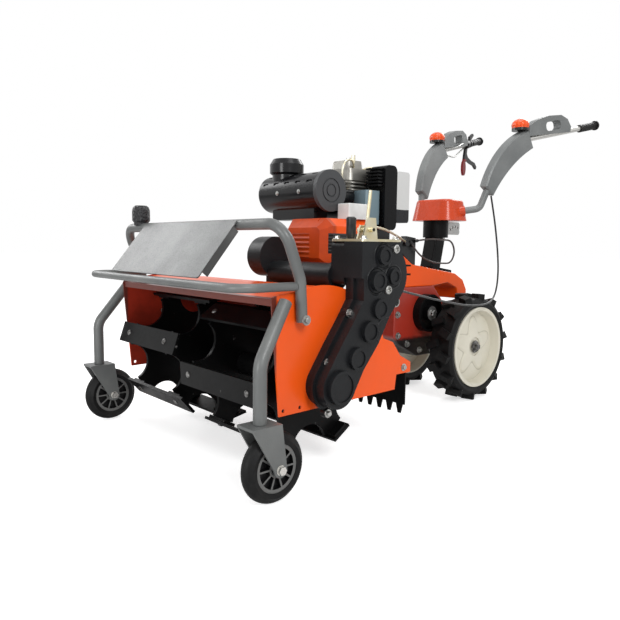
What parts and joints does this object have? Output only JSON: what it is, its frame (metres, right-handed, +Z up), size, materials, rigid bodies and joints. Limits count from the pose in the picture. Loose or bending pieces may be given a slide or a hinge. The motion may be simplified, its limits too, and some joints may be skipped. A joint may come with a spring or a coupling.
{
  "type": "walk-behind power tiller with a front bladed rotor",
  "caption": "Walk-behind power tiller: bladed rotor in an orange hood at the front, swivel casters, side gear case, diesel engine, lugged drive wheels and handlebars.",
  "frame": {"origin": "middle of the machine's footprint, on the ground it stands on", "axes": "+Z up; -Y forward, towards the rotor and casters; +Y back to the handlebars; +X the machine's left, the side of the gear case"},
  "size_m": [0.912, 1.8867, 1.087],
  "materials": {
    "orange_paint": "gloss orange paint",
    "red_paint": "gloss red-orange paint",
    "grey_paint": "hammered grey paint",
    "black_paint": "satin black paint",
    "black_steel": "black painted steel plate",
    "charcoal_casting": "charcoal painted casting",
    "plated_steel": "zinc plated",
    "cast_aluminium": "cast",
    "cream_paint": "cream paint",
    "tyre_rubber": "black rubber",
    "grip_rubber": "black rubber",
    "black_plastic": "black plastic",
    "orange_plastic": "orange moulded plastic",
    "white_plastic": "white plastic",
    "cable_jacket": "black cable jacket"
  },
  "bodies": {
    "chassis": {"air_cleaner": "black_paint", "case_top_plate": "plated_steel", "caster_leg_left": "grey_paint", "caster_leg_right": "grey_paint", "comb": "black_paint", "control_box": "white_plastic", "control_cable": "cable_jacket", "deck_hood": "orange_paint", "deck_side_left": "orange_paint", "deck_side_right": "orange_paint", "deflector_panel": "grey_paint", "engine_block": "cast_aluminium", "engine_frame": "black_paint", "fan_shroud": "orange_paint", "front_bumper": "grey_paint", "front_hoop": "grey_paint", "gear_case": "charcoal_casting", "gearbox": "red_paint", "gearbox_cover": "orange_paint", "handle_column": "black_paint", "muffler": "black_paint", "rotor_bearing": "black_paint", "shift_linkage": "cast_aluminium", "side_drum": "black_paint", "throttle_cable": "cable_jacket", "transfer_housing": "charcoal_casting"},
    "caster_fork_left": {"caster_fork_left": "grey_paint"},
    "caster_fork_right": {"caster_fork_right": "grey_paint"},
    "caster_wheel_left": {"caster_hub_left": "black_plastic", "caster_tyre_left": "tyre_rubber"},
    "caster_wheel_right": {"caster_hub_right": "black_plastic", "caster_tyre_right": "tyre_rubber"},
    "drive_wheel_left": {"drive_rim_left": "cream_paint", "drive_tyre_left": "tyre_rubber"},
    "drive_wheel_right": {"drive_rim_right": "cream_paint", "drive_tyre_right": "tyre_rubber"},
    "rotor": {"rotor_drum": "black_steel", "rotor_blades": "black_steel"},
    "handlebars": {"hub_cover": "red_paint", "handlebar_left": "grey_paint", "handlebar_right": "grey_paint", "grip_left": "grip_rubber", "grip_right": "grip_rubber", "hand_levers": "black_plastic", "bar_lamps": "orange_plastic"}
  },
  "joints": [
    {"name": "caster_swivel_left", "type": "hinge", "parent": "chassis", "child": "caster_fork_left", "pos_m": [0.418, -0.892, 0.2], "axis": [0, 0, 1], "continuous": true},
    {"name": "caster_roll_left", "type": "hinge", "parent": "caster_fork_left", "child": "caster_wheel_left", "pos_m": [0.418, -0.858, 0.08], "axis": [1, 0, 0], "continuous": true},
    {"name": "drive_roll_left", "type": "hinge", "parent": "chassis", "child": "drive_wheel_left", "pos_m": [0.152, 0.268, 0.195], "axis": [1, 0, 0], "continuous": true},
    {"name": "caster_swivel_right", "type": "hinge", "parent": "chassis", "child": "caster_fork_right", "pos_m": [-0.418, -0.892, 0.2], "axis": [0, 0, 1], "continuous": true},
    {"name": "caster_roll_right", "type": "hinge", "parent": "caster_fork_right", "child": "caster_wheel_right", "pos_m": [-0.418, -0.858, 0.08], "axis": [1, 0, 0], "continuous": true},
    {"name": "drive_roll_right", "type": "hinge", "parent": "chassis", "child": "drive_wheel_right", "pos_m": [-0.152, 0.268, 0.195], "axis": [1, 0, 0], "continuous": true},
    {"name": "rotor_spin", "type": "hinge", "parent": "chassis", "child": "rotor", "pos_m": [0, -0.675, 0.23], "axis": [1, 0, 0], "continuous": true},
    {"name": "handlebar_swivel", "type": "hinge", "parent": "chassis", "child": "handlebars", "pos_m": [0, 0.252, 0.67], "axis": [0, 0, 1], "range_deg": [-25, 25], "deforming": ["control_cable"]}
  ]
}
